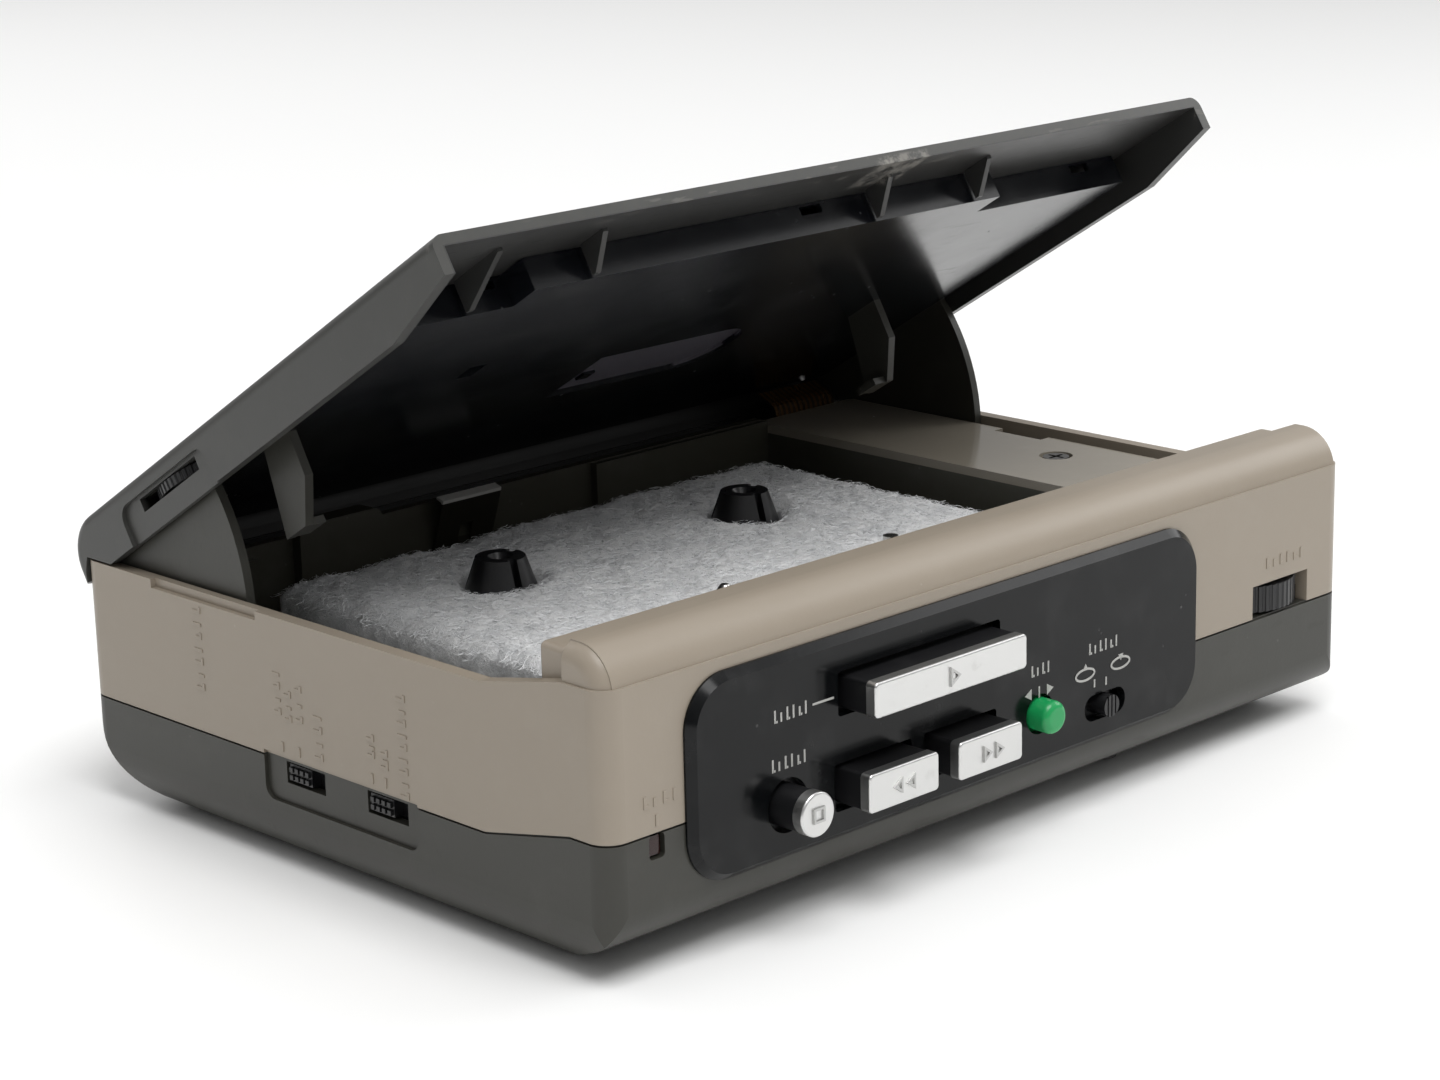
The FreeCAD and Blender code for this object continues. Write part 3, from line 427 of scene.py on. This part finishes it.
def feltCloth(name):
    paint = Paint(name)
    clump = paint.cloud(260, 5.0, 0.7)
    hair = paint.cloud(1500, 4.0, 0.7, stretch=(1.0, 3.5, 1.0))
    cross = paint.cloud(1400, 4.0, 0.7, stretch=(3.5, 1.0, 1.0))
    # painted shade: the felt is greyer where the clump noise is low, where the bump also sinks, and whiter
    # on the raised clumps
    depth = paint.step(clump, 0.32, 0.62)
    base = paint.mix(depth, (0.74, 0.75, 0.76, 1), (0.93, 0.93, 0.93, 1))
    # painted highlight: small glint spots lighten the felt colour; the same mask also lowers the roughness
    # there
    glint = paint.step(hair * cross * 4.0, 1.25, 1.7)
    base = paint.mix(glint * 0.5, base, (0.98, 0.98, 0.98, 1))
    height = clump * 1.6 + hair * 0.8 + cross * 0.8
    return paint.finish(Base_Color=base, Roughness=0.92 - glint * 0.3, Sheen_Weight=0.3, Sheen_Roughness=0.5,
                        Normal=paint.bump(height, 0.35 * mm, 0.9))


def feltFibre(name):
    paint = Paint(name)
    tone = paint.cloud(500, 2.0)
    base = paint.mix(tone, (0.80, 0.81, 0.83, 1), (0.97, 0.97, 0.97, 1))
    return paint.finish(Base_Color=base, Roughness=0.45 + tone * 0.2)


def printInk(name, colour):
    paint = Paint(name)
    wear = paint.cloud(1100, 4.0, 0.6)
    base = paint.mix(paint.step(wear, 0.5, 0.8) * 0.35, rgba(colour), rgba([c * 0.45 for c in colour]))
    return paint.finish(Base_Color=base, Roughness=0.45 + wear * 0.1)


special = {"lidShell": shadeInsideAndWornEdge, "innerPlate": lightPocket}
finishes = {name: plastic(name, look, special.get(name)) for name, look in plastics.items()}
finishes.update({name: metal(name, look) for name, look in metals.items()})
finishes["belt"] = rubber("belt", (0.012, 0.012, 0.012))
finishes["roller"] = rubber("roller", (0.018, 0.017, 0.017))
finishes["board"] = board("board")
finishes["lens"] = clear("lens", (0.030, 0.008, 0.007), 0.95)
finishes["window"] = clear("window", (0.10, 0.11, 0.11), 0.62)
finishes["cellWrap"] = wrap("cellWrap")
finishes["ribbonFilm"] = ribbonFilm("ribbonFilm")
finishes["felt"] = feltCloth("felt")
finishes["fibre"] = feltFibre("fibre")
finishes["lightInk"] = printInk("lightInk", (0.42, 0.42, 0.40))

nodeFinish = {
    "lowerCase": ["lower_case", "battery_door", "cassette_guides", "lid_gussets"],
    "upperCase": ["upper_case"],
    "lidShell": ["lid_shell"],
    "well": ["cassette_well"],
    "innerPlate": ["lid_inner_plate"],
    "panel": ["control_panel"],
    "coverPlate": ["side_cover_plate"],
    "black": ["play_button", "rewind_button", "forward_button", "stop_button", "mode_knob", "tape_knob",
              "noise_knob", "volume_wheel", "volume_pot", "headphone_jack", "dc_jack", "left_spindle",
              "right_spindle", "tuning_wheel"],
    "silverTip": ["play_tip", "rewind_tip", "forward_tip", "stop_tip"],
    "green": ["direction_button", "dial_pointer"],
    "shadedSteel": ["plate_screw", "case_screws"],
    "steel": ["slide_switches", "left_flywheel", "right_flywheel", "chassis_plate",
              "motor", "tape_head", "guide_pin", "hinge_pins", "tuning_capacitor"],
    "springSteel": ["battery_contacts", "flywheel_bridge", "head_plate", "lid_spring"],
    "leafSteel": ["cassette_spring"],
    "brass": ["capstan_bushes", "motor_pulley"],
    "belt": ["drive_belt"],
    "roller": ["left_pinch_roller", "right_pinch_roller"],
    "board": ["main_circuit_board", "tuner_board"],
    "lens": ["battery_led"],
    "window": ["dial_window"],
    "cellWrap": ["batteries"],
}
for finish, names in nodeFinish.items():
    for name in names:
        nodes[name].data.materials.clear()
        nodes[name].data.materials.append(finishes[finish])
print("materials ready")

# piece helpers


def newPiece(name, mesh, finish, body, smooth=None):
    data = bpy.data.meshes.new(name)
    bmesh.ops.recalc_face_normals(mesh, faces=mesh.faces)
    mesh.to_mesh(data)
    mesh.free()
    data.materials.append(finishes[finish])
    piece = inScene(name, data)
    if smooth:
        data.shade_smooth()
        data.set_sharp_from_angle(angle=math.radians(smooth))
    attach(piece, body)
    return piece


def frontFace(front, x, z, turn=0.0):  # flat drawing on the key face: local X right, local Y up
    tilt = Matrix.Rotation(math.radians(90), 4, "X") @ Matrix.Rotation(math.radians(turn), 4, "Z")
    return Matrix.Translation((x * mm, front * mm, z * mm)) @ tilt


def endFace(side, y, z, turn=0.0):  # the same on the left end
    place = Matrix.Translation((side * mm, y * mm, z * mm))
    return place @ Matrix.Rotation(math.radians(-90), 4, "Z") @ frontFace(0, 0, 0, turn)


def bar(mesh, place, wide, high, thick, soft=0.0):
    made = bmesh.ops.create_cube(mesh, size=1.0)["verts"]
    bmesh.ops.scale(mesh, vec=(wide * mm, high * mm, thick * mm), verts=made)
    if soft:
        edges = list({edge for vert in made for edge in vert.link_edges})
        top = [edge for edge in edges if all(vert.co.z > 0 for vert in edge.verts)]
        made = bmesh.ops.bevel(mesh, geom=top, offset=soft * mm, segments=2, affect="EDGES", profile=0.5,
                               material=-1)["verts"] + [vert for vert in made if vert.is_valid]
    bmesh.ops.transform(mesh, matrix=place, verts=list(set(made)))


def prism(mesh, place, corners, radius, thick, squeeze=1.0):  # a triangle, square or disc with thickness
    made = bmesh.ops.create_cone(mesh, cap_ends=True, segments=corners, radius1=radius * mm,
                                 radius2=radius * mm, depth=thick * mm)["verts"]
    bmesh.ops.scale(mesh, vec=(1.0, squeeze, 1.0), verts=made)
    bmesh.ops.transform(mesh, matrix=place, verts=made)


def loopOf(mesh, place, corners, radius, line, thick, squeeze=1.0):  # the outline of such a shape
    made = bmesh.ops.create_circle(mesh, cap_ends=True, segments=corners, radius=radius * mm)["verts"]
    bmesh.ops.scale(mesh, vec=(1.0, squeeze, 1.0), verts=made)
    face = made[0].link_faces[0]
    ring = bmesh.ops.inset_region(mesh, faces=[face], thickness=line * mm, use_boundary=True,
                                  use_even_offset=True)["faces"]
    bmesh.ops.delete(mesh, geom=[face], context="FACES_ONLY")
    lifted = bmesh.ops.extrude_face_region(mesh, geom=ring, use_keep_orig=True)["geom"]
    raised = [item for item in lifted if isinstance(item, bmesh.types.BMVert)]
    bmesh.ops.translate(mesh, vec=(0, 0, thick * mm), verts=raised)
    every = list({vert for f in ring for vert in f.verts} | set(raised))
    bmesh.ops.transform(mesh, matrix=place, verts=every)


# printed and moulded marks: rows of plain strokes stand for words, arrows and signs are generic

panelInk = {
    "front": -49.23, "thick": 0.05, "line": 0.26,
    "words": [(-39.0, 25.6, 5.8, 1.5), (-39.4, 20.0, 6.0, 1.5),   # x, z, width and height
              (3.3, 20.5, 3.9, 1.4), (15.0, 20.8, 6.0, 1.4)],
    "leader": (-33.8, 25.6, 3.4),
    "arrows": [(1.3, 90), (4.9, -90)], "arrowZ": 17.7, "arrowSize": 0.8,   # x and turn of each
    "divider": (3.1, 17.7, 1.4),
    "loops": [(11.6, 0), (18.3, 180)], "loopZ": 17.8,   # one-way and round-and-round signs
    "loopTicks": [(13.4, 16.3), (15.6, 16.1)],
}


def strokes(mesh, place, wide, high, thick, line, soft=0.0):  # uneven upright strokes, some with a foot
    count = max(int(wide / (line * 3.4)), 3)
    for i in range(count):
        x = (i + 0.5) * wide / count - wide / 2
        tall = high * (0.72 if i % 3 == 1 else 1.0)
        bar(mesh, place @ Matrix.Translation((x * mm, (tall - high) / 2 * mm, 0)), line, tall, thick, soft)
        if i % 2 == 0:
            foot = place @ Matrix.Translation(((x + line * 0.9) * mm, -(high - line) / 2 * mm, 0))
            bar(mesh, foot, line * 1.2, line, thick, soft)


def panelMarks(values):
    mesh = bmesh.new()
    front, thick, line = values["front"], values["thick"], values["line"]
    for x, z, wide, high in values["words"]:
        strokes(mesh, frontFace(front, x, z), wide, high, thick, line)
    x, z, wide = values["leader"]
    bar(mesh, frontFace(front, x, z), wide, line, thick)   # leads to the long key
    for x, turn in values["arrows"]:
        prism(mesh, frontFace(front, x, values["arrowZ"], turn), 3, values["arrowSize"], thick)
    x, z, high = values["divider"]
    bar(mesh, frontFace(front, x, z), line, high, thick)
    for x, turn in values["loops"]:
        loopOf(mesh, frontFace(front, x, values["loopZ"]), 20, 1.9, 0.28, thick, 0.45)
        prism(mesh, frontFace(front, x + 0.1, values["loopZ"] + 0.82, turn), 3, 0.55, thick)
    for x, z in values["loopTicks"]:
        bar(mesh, frontFace(front, x, z), line, 1.0, thick)
    return newPiece("panel_marks", mesh, "lightInk", "case")


caseSigns = {
    "front": -48.0, "lift": 0.24, "line": 0.38, "soft": 0.04,
    "words": [(53.0, 23.5, 8.6, 1.4), (-57.9, 20.3, 5.8, 1.4)],   # x, z, width and height
    "lampTick": (-58.4, 18.0, 1.3),
}


def caseMarks(values):  # moulded signs over the thumbwheel and the battery lamp
    mesh = bmesh.new()
    front, lift, line, soft = (values[key] for key in ("front", "lift", "line", "soft"))
    for x, z, wide, high in values["words"]:
        strokes(mesh, frontFace(front, x, z), wide, high, lift, line, soft)
    x, z, high = values["lampTick"]
    bar(mesh, frontFace(front, x, z), line, high, lift, soft)
    return newPiece("case_marks", mesh, "upperCase", "case")


tipSet = {"front": -53.9, "clear": 0.02, "lift": 0.26, "line": 0.3}


def keySymbols(name, body, parts):  # raised signs on a key's silver tip: shape, x, z, turn, size
    mesh = bmesh.new()
    for shape, x, z, turn, size in parts:
        place = frontFace(tipSet["front"] + tipSet["clear"], x, z, turn - 90)
        if shape == "arrow":
            loopOf(mesh, place, 3, size, tipSet["line"], tipSet["lift"], 0.85)
        else:
            flat = place @ Matrix.Rotation(math.radians(45), 4, "Z")
            loopOf(mesh, flat, 4, size, tipSet["line"], tipSet["lift"])
    return newPiece(name, mesh, "shadedTipSign", body)


endSet = {
    "side": -65.65, "lift": 0.26, "line": 0.42,
    "words": [(24.1, 24.0, 11.2, 1.6), (8.9, 21.8, 6.3, 1.3),   # y, z, width and height
              (6.9, 20.4, 4.5, 1.3), (4.8, 21.1, 5.6, 1.3), (1.4, 17.9, 6.6, 1.6), (-8.4, 19.0, 3.0, 1.3),
              (-10.8, 17.9, 2.4, 1.3), (-14.2, 20.2, 13.0, 1.6)],
    "ticks": [8.4, 5.2, -8.4, -10.8],
    "tickZ": 15.3,
}


def endMarks(values):  # moulded rows and switch-position signs on the left end
    mesh = bmesh.new()
    side, lift, line = values["side"], values["lift"], values["line"]
    for y, z, wide, high in values["words"]:
        strokes(mesh, endFace(side, y, z, 90), wide, high, lift, line, 0.05)
    for y in values["ticks"]:
        bar(mesh, endFace(side, y, values["tickZ"]), line, 1.2, lift)
    return newPiece("end_marks", mesh, "upperCase", "case")


panelMarks(panelInk)
caseMarks(caseSigns)
keySymbols("play_symbol", "play_key", [("arrow", -17.35, 25.6, 0, 1.35)])
keySymbols("rewind_symbol", "rewind_key",
           [("arrow", -26.6, 14.9, 180, 1.15), ("arrow", -24.5, 14.9, 180, 1.15)])
keySymbols("forward_symbol", "forward_key",
           [("arrow", -11.8, 14.9, 0, 1.15), ("arrow", -9.7, 14.9, 0, 1.15)])
keySymbols("stop_symbol", "stop_key", [("square", -39.6, 14.9, 0, 1.25)])
endMarks(endSet)
print("marks ready")

# felt block in the cassette room

feltSet = {
    "x": (-50.0, 34.3), "y": (-22.0, 28.6), "top": 27.85, "floor": 20.4,
    "holes": [(-29.75, 10.0, 4.8), (12.75, 10.0, 4.8), (-17.0, -16.6, 1.5)],
    "notches": [(-29.5, 5.7), (12.5, 5.7)], "notchDepth": -14.6,
    "swell": 0.5, "swellScale": 0.11, "fine": 0.34, "fineScale": 0.9,
    "round": 2.6, "drop": 1.5,        # how far in from an edge the top bends down, and how far down
    "cells": (168, 102),              # faces along and across the top
    "rimReach": 0.8, "rimRagged": 0.35,
    "rings": (22.0, 23.4, 24.6),      # cuts round the sides, so that they can be uneven
    "uneven": (21.5, 25.2, 0.35),     # from this height to this one, and by how much
}
fibreSet = {
    "count": 20000, "wide": 0.032, "step": (0.45, 1.2), "points": 5, "lift": 0.55, "seed": 7,
    "curl": 0.9,                      # the most a fibre turns at each point
    "pitch": (-0.2, 0.6), "sag": 0.45,
}


def insideHole(x, y, values, spare=0.0):
    for holeX, holeY, radius in values["holes"]:
        if math.hypot(x - holeX, y - holeY) < radius + spare:
            return True
    return any(abs(x - notchX) < half + spare and y < values["notchDepth"] + spare
               for notchX, half in values["notches"])


def rimDistance(x, y, values):  # how far a point is from the nearest free edge
    near = min(x - values["x"][0], values["x"][1] - x, y - values["y"][0], values["y"][1] - y)
    for holeX, holeY, radius in values["holes"]:
        near = min(near, math.hypot(x - holeX, y - holeY) - radius)
    for notchX, half in values["notches"]:
        near = min(near, math.hypot(max(abs(x - notchX) - half, 0), max(y - values["notchDepth"], 0)))
    return max(near, 0.0)


def feltHeight(x, y, values):
    swell = noise.fractal(Vector((x, y, 3.0)) * values["swellScale"], 0.8, 2.0, 4) * values["swell"]
    fine = noise.fractal(Vector((x, y, 9.0)) * values["fineScale"], 0.7, 2.0, 4) * values["fine"]
    edge = max(1 - rimDistance(x, y, values) / values["round"], 0.0)
    return values["top"] + swell + fine - edge * edge * values["drop"]


def feltPad(values):
    mesh = bmesh.new()
    (x0, x1), (y0, y1) = values["x"], values["y"]
    along, across = values["cells"]
    bmesh.ops.create_grid(mesh, x_segments=along, y_segments=across, size=0.5)
    bmesh.ops.scale(mesh, vec=(x1 - x0, y1 - y0, 1), verts=mesh.verts)
    bmesh.ops.translate(mesh, vec=((x0 + x1) / 2, (y0 + y1) / 2, values["floor"]), verts=mesh.verts)
    gone = [face for face in mesh.faces if insideHole(*face.calc_center_median().xy, values)]
    bmesh.ops.delete(mesh, geom=gone, context="FACES")
    for vert in mesh.verts:
        if vert.is_boundary:
            for holeX, holeY, radius in values["holes"]:
                away = Vector((vert.co.x - holeX, vert.co.y - holeY, 0))
                if away.length < radius + values["rimReach"]:
                    away = away.normalized() * (radius + noise.noise(away * 1.3) * values["rimRagged"])
                    vert.co.x, vert.co.y = holeX + away.x, holeY + away.y
    lifted = bmesh.ops.extrude_face_region(mesh, geom=mesh.faces[:], use_keep_orig=True)["geom"]
    for vert in [item for item in lifted if isinstance(item, bmesh.types.BMVert)]:
        vert.co.z = feltHeight(vert.co.x, vert.co.y, values)
    for level in values["rings"]:
        bmesh.ops.bisect_plane(mesh, geom=mesh.verts[:] + mesh.edges[:] + mesh.faces[:],
                               plane_co=(0, 0, level), plane_no=(0, 0, 1))
    low, high, uneven = values["uneven"]
    for vert in mesh.verts:
        if low < vert.co.z < high:
            push = noise.fractal(vert.co * 0.7, 0.8, 2.0, 3) * uneven
            flat = Vector((vert.normal.x, vert.normal.y, 0))
            vert.co += flat * push
    bmesh.ops.scale(mesh, vec=(mm, mm, mm), verts=mesh.verts)
    pad = newPiece("felt_pad", mesh, "felt", "case", smooth=80)
    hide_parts("transport_pad")
    return pad


def feltFibres(values, felt):
    random.seed(values["seed"])
    curve = bpy.data.curves.new("felt_fibres", "CURVE")
    curve.dimensions = "3D"
    curve.extrude = values["wide"] * mm
    curve.resolution_u = 1
    made = 0
    while made < values["count"]:
        x, y = random.uniform(*felt["x"]), random.uniform(*felt["y"])
        if insideHole(x, y, felt, 0.5):
            continue
        heading, pitch = random.uniform(0, 2 * math.pi), random.uniform(*values["pitch"])
        step = random.uniform(*values["step"])
        z = feltHeight(x, y, felt) - 0.05
        points = []
        for i in range(values["points"]):
            points.append((x * mm, y * mm, z * mm, 1))
            x, y = x + math.cos(heading) * step * 0.6, y + math.sin(heading) * step * 0.6
            nearX = min(max(x, felt["x"][0]), felt["x"][1])
            nearY = min(max(y, felt["y"][0]), felt["y"][1])
            ground = feltHeight(nearX, nearY, felt)
            z = min(max(z + math.sin(pitch) * step * 0.35, ground - 0.1), ground + values["lift"])
            heading += random.uniform(-values["curl"], values["curl"])
            pitch -= random.uniform(0.0, values["sag"])
            if insideHole(x, y, felt, 0.12):
                break
        if len(points) < 3:
            continue
        line = curve.splines.new("POLY")
        line.points.add(len(points) - 1)
        for point, place in zip(line.points, points):
            point.co = place
            point.tilt = random.uniform(0, math.pi)
        made += 1
    shell = inScene("felt_fibres_line", curve)
    data = bpy.data.meshes.new_from_object(shell.evaluated_get(bpy.context.evaluated_depsgraph_get()))
    bpy.data.objects.remove(shell)
    data.name = "felt_fibres"
    data.materials.clear()
    data.materials.append(finishes["fibre"])
    fibres = inScene("felt_fibres", data)
    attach(fibres, "case")
    return fibres


feltPad(feltSet)
feltFibres(fibreSet, feltSet)
print("felt ready")

# flat flexible cable from the case to the tuner in the lid

ribbonSet = {
    "x": (47.0, 59.0), "thick": 0.15, "strips": 24,
    "line": [(37.75, 26.0), (37.75, 29.6), (38.3, 31.6), (40.2, 32.5), (41.4, 33.1)],   # y and z
    "bendFrom": (0.053, 0.0377, 0.0300), "bendTo": (0.053, 0.0414, 0.0331),   # metres
}


def ribbon(values):
    mesh = bmesh.new()
    (x0, x1), (y0, z0), strips = values["x"], values["line"][0], values["strips"]
    first = [mesh.verts.new(((x0 + (x1 - x0) * i / strips) * mm, y0 * mm, z0 * mm))
             for i in range(strips + 1)]
    edges = [mesh.edges.new(pair) for pair in zip(first, first[1:])]
    for (y0, z0), (y1, z1) in zip(values["line"], values["line"][1:]):
        grown = bmesh.ops.extrude_edge_only(mesh, edges=edges)["geom"]
        verts = [item for item in grown if isinstance(item, bmesh.types.BMVert)]
        edges = [item for item in grown if isinstance(item, bmesh.types.BMEdge)
                 and all(v in verts for v in item.verts)]
        bmesh.ops.translate(mesh, vec=(0, (y1 - y0) * mm, (z1 - z0) * mm), verts=verts)
    bmesh.ops.subdivide_edges(mesh, edges=mesh.edges[:], cuts=2, use_grid_fill=True, smooth=0.6)
    bmesh.ops.recalc_face_normals(mesh, faces=mesh.faces)
    bmesh.ops.solidify(mesh, geom=mesh.faces[:], thickness=values["thick"] * mm)
    data = bpy.data.meshes.new("tuner_cable")
    mesh.to_mesh(data)
    mesh.free()
    data.materials.append(finishes["ribbonFilm"])
    cable = inScene("tuner_cable", data)
    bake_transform(cable)
    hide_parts("tuner_ribbon")
    return cable


ribbon(ribbonSet)
print("cable ready")

# floor

floorSet = {"size": 6.0, "colour": (0.95, 0.95, 0.945), "shade": 0.985}


def makeFloor(values):
    mesh = bmesh.new()
    bmesh.ops.create_grid(mesh, x_segments=1, y_segments=1, size=values["size"])
    data = bpy.data.meshes.new("floor")
    mesh.to_mesh(data)
    mesh.free()
    paint = Paint("floorPaper")
    tone = paint.cloud(3.0, 2.0)
    darker = [part * values["shade"] for part in values["colour"]]
    base = paint.mix(tone, rgba(values["colour"]), rgba(darker))
    data.materials.append(paint.finish(Base_Color=base, Roughness=0.7))
    inScene("floor", data)


makeFloor(floorSet)
print("floor ready")
